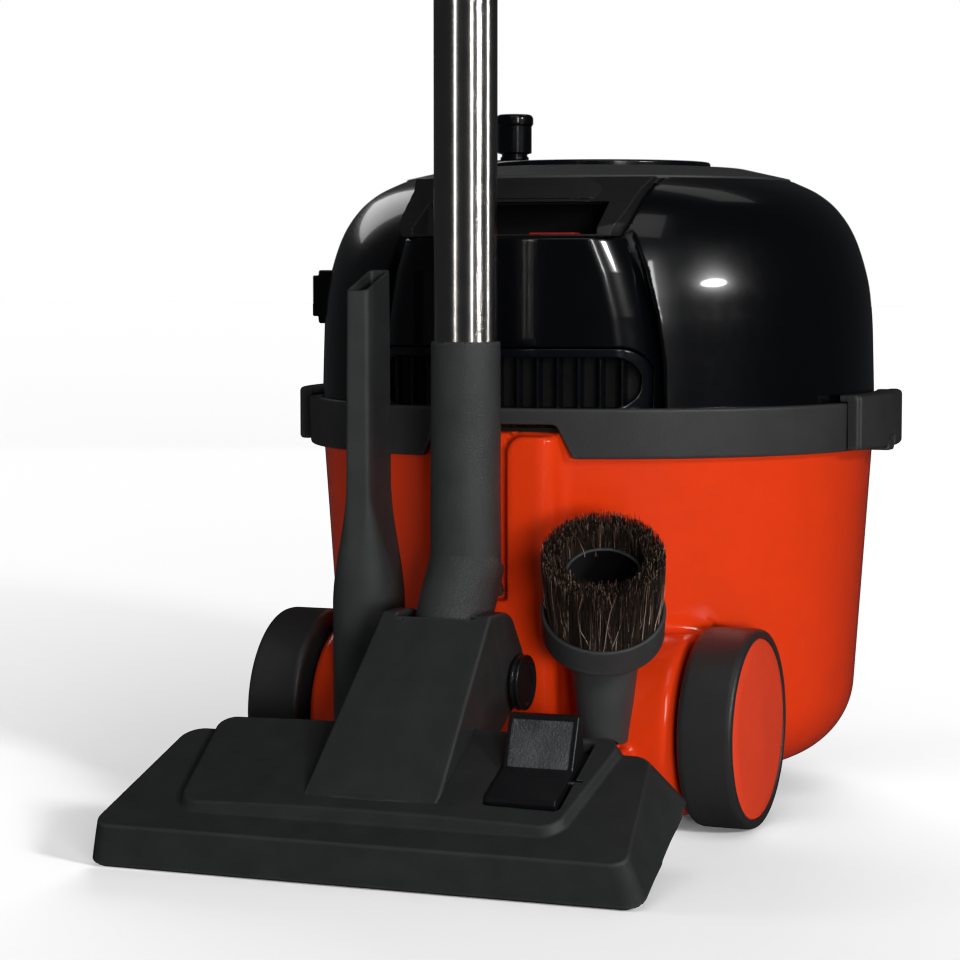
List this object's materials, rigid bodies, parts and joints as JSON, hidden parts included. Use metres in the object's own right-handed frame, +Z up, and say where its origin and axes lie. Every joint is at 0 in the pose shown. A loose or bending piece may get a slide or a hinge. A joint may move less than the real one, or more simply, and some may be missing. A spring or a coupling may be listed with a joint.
{
  "type": "tub vacuum cleaner",
  "caption": "Tub vacuum cleaner on wheels, with a clamped domed motor head, a cable winder, and its wand, floor tool, crevice tool and dusting brush parked behind.",
  "frame": {"origin": "middle of the footprint on the floor", "axes": "+Z up, +Y towards the hose inlet at the front, -Y towards the parked floor tool at the rear, +X to the right seen from the rear"},
  "size_m": [0.342, 0.5088, 0.675],
  "materials": {
    "red_gloss": "polished moulded plastic, lightly scuffed",
    "hub_red": "satin moulded plastic",
    "black_gloss": "high gloss moulded plastic",
    "grille_black": "satin moulded plastic",
    "collar_grey": "fine spark-eroded texture",
    "winder_black": "satin moulded plastic",
    "tyre_black": "satin moulded tread",
    "castor_grey": "moulded wheel",
    "castor_fork_black": "moulded plastic",
    "stainless": "fine lengthwise brushing",
    "pin_steel": "turned steel",
    "sole_steel": "pressed stainless sheet",
    "socket_grey": "coarse moulded grain",
    "tool_grey": "fine moulded grain",
    "pedal_black": "grained tread with polished edges",
    "switch_red": "translucent red rocker",
    "inner_grey": "moulded plastic",
    "soft_black": "moulded rubber",
    "foam_grey": "open-cell foam",
    "filter_white": "needled filter cloth",
    "motor_metal": "pressed can",
    "fan_metal": "pressed sheet",
    "rotor_steel": "laminated steel",
    "bristle_dark": "natural bristle",
    "strip_bristle": "nylon bristle"
  },
  "bodies": {
    "machine": {"tub": "red_gloss", "hose_inlet": "winder_black", "collar": "collar_grey", "crevice_post": "red_gloss", "brush_post": "red_gloss", "filter_ring": "soft_black", "filter_cloth": "filter_white", "axle_left": "pin_steel", "axle_right": "pin_steel"},
    "head": {"head_shell": "black_gloss", "top_cap": "collar_grey", "pocket_liner": "inner_grey", "vent_grille": "grille_black", "plug_clip": "black_gloss", "cable_bush": "soft_black", "switch_frame": "inner_grey", "motor_plate": "inner_grey", "motor_housing": "motor_metal", "motor_screws": "pin_steel", "motor_seal": "foam_grey", "exhaust_filter": "foam_grey"},
    "switch_rocker": {"power_switch": "switch_red"},
    "rotor": {"motor_rotor": "rotor_steel", "impeller": "fan_metal"},
    "winder": {"cable_drum": "inner_grey", "winder_disc": "winder_black"},
    "winder_knob": {"crank_knob": "black_gloss"},
    "wand": {"wand_tube": "stainless", "neck_socket": "socket_grey"},
    "elbow": {"swivel_elbow": "tool_grey"},
    "floor_tool": {"tool_cover": "tool_grey", "sole_plate": "sole_steel", "neck_housing": "tool_grey", "roller_pin_left": "pin_steel", "roller_pin_right": "pin_steel", "pedal_pin": "pin_steel"},
    "strips": {"strip_carrier": "tool_grey", "bristle_strip_front": "strip_bristle", "bristle_strip_rear": "strip_bristle"},
    "foot_pedal": {"tool_pedal": "pedal_black"},
    "crevice_nozzle": {"crevice_tool": "socket_grey"},
    "dusting_brush": {"brush_body": "tool_grey", "bristle_ring": "bristle_dark"},
    "wheel_left": {"rear_tyre_left": "tyre_black", "hub_cap_left": "hub_red"},
    "castor_left": {"castor_fork_left": "castor_fork_black", "castor_pin_left": "pin_steel"},
    "castor_roll_left": {"castor_wheel_left": "castor_grey"},
    "latch_arm_left": {"latch_left": "collar_grey", "latch_pin_left": "pin_steel"},
    "roller_left": {"tool_roller_left": "pedal_black"},
    "wheel_right": {"rear_tyre_right": "tyre_black", "hub_cap_right": "hub_red"},
    "castor_right": {"castor_fork_right": "castor_fork_black", "castor_pin_right": "pin_steel"},
    "castor_roll_right": {"castor_wheel_right": "castor_grey"},
    "latch_arm_right": {"latch_right": "collar_grey", "latch_pin_right": "pin_steel"},
    "roller_right": {"tool_roller_right": "pedal_black"}
  },
  "joints": [
    {"name": "head_lift", "type": "slide", "parent": "machine", "child": "head", "axis": [0, 0, 1], "range_m": [0, 0.16]},
    {"name": "winder_turn", "type": "hinge", "parent": "head", "child": "winder", "pos_m": [0, 0.08935, 0.34], "axis": [0, 0, 1], "continuous": true},
    {"name": "knob_turn", "type": "hinge", "parent": "winder", "child": "winder_knob", "pos_m": [-0.0436, 0.07175, 0.36], "axis": [0, 0, 1], "continuous": true},
    {"name": "rotor_spin", "type": "hinge", "parent": "head", "child": "rotor", "pos_m": [0, 0.08935, 0.24], "axis": [0, 0, 1], "continuous": true},
    {"name": "switch_rock", "type": "hinge", "parent": "head", "child": "switch_rocker", "pos_m": [0.027, -0.05365, 0.3005], "axis": [1, 0, 0], "range_deg": [-6, 6]},
    {"name": "latch_right_swing", "type": "hinge", "parent": "machine", "child": "latch_arm_right", "pos_m": [0.167, 0.08935, 0.1915], "axis": [0, 1, 0], "range_deg": [0, 60]},
    {"name": "latch_left_swing", "type": "hinge", "parent": "machine", "child": "latch_arm_left", "pos_m": [-0.167, 0.08935, 0.1915], "axis": [0, -1, 0], "range_deg": [0, 60]},
    {"name": "rear_wheel_left_roll", "type": "hinge", "parent": "machine", "child": "wheel_left", "pos_m": [-0.1191, -0.03815, 0.0514], "axis": [1, 0, 0], "continuous": true},
    {"name": "castor_left_swivel", "type": "hinge", "parent": "machine", "child": "castor_left", "pos_m": [-0.062, 0.15935, 0.05], "axis": [0, 0, 1], "continuous": true},
    {"name": "castor_left_roll", "type": "hinge", "parent": "castor_left", "child": "castor_roll_left", "pos_m": [-0.062, 0.14935, 0.017], "axis": [1, 0, 0], "continuous": true},
    {"name": "rear_wheel_right_roll", "type": "hinge", "parent": "machine", "child": "wheel_right", "pos_m": [0.1191, -0.03815, 0.0514], "axis": [1, 0, 0], "continuous": true},
    {"name": "castor_right_swivel", "type": "hinge", "parent": "machine", "child": "castor_right", "pos_m": [0.062, 0.15935, 0.05], "axis": [0, 0, 1], "continuous": true},
    {"name": "castor_right_roll", "type": "hinge", "parent": "castor_right", "child": "castor_roll_right", "pos_m": [0.062, 0.14935, 0.017], "axis": [1, 0, 0], "continuous": true},
    {"name": "wand_unpark", "type": "slide", "parent": "machine", "child": "wand", "axis": [0, -0.5, 0.866], "range_m": [0, 0.16]},
    {"name": "elbow_swivel", "type": "hinge", "parent": "wand", "child": "elbow", "pos_m": [0, -0.10965, 0.15], "axis": [0, 0, 1], "range_deg": [-15, 15]},
    {"name": "tool_nod", "type": "hinge", "parent": "elbow", "child": "floor_tool", "pos_m": [0, -0.14061, 0.0901], "axis": [1, 0, 0], "range_deg": [0, 35]},
    {"name": "pedal_rock", "type": "hinge", "parent": "floor_tool", "child": "foot_pedal", "pos_m": [0.074, -0.20441, 0.04711], "axis": [1, 0, 0], "range_deg": [-8, 0]},
    {"name": "strips_drop", "type": "slide", "parent": "floor_tool", "child": "strips", "axis": [0, 0.4226, -0.9063], "range_m": [0, 0.005]},
    {"name": "tool_roller_left_roll", "type": "hinge", "parent": "floor_tool", "child": "roller_left", "pos_m": [-0.0337, -0.11684, 0.08055], "axis": [1, 0, 0], "continuous": true},
    {"name": "tool_roller_right_roll", "type": "hinge", "parent": "floor_tool", "child": "roller_right", "pos_m": [0.0337, -0.11684, 0.08055], "axis": [1, 0, 0], "continuous": true},
    {"name": "crevice_pull", "type": "slide", "parent": "machine", "child": "crevice_nozzle", "axis": [0, 0, 1], "range_m": [0, 0.1]},
    {"name": "brush_pull", "type": "slide", "parent": "machine", "child": "dusting_brush", "axis": [0, 0, 1], "range_m": [0, 0.06]}
  ],
  "couplings": [
    {"joint": "pedal_rock", "follows": "strips_drop", "rad_per_m": -27.925}
  ]
}
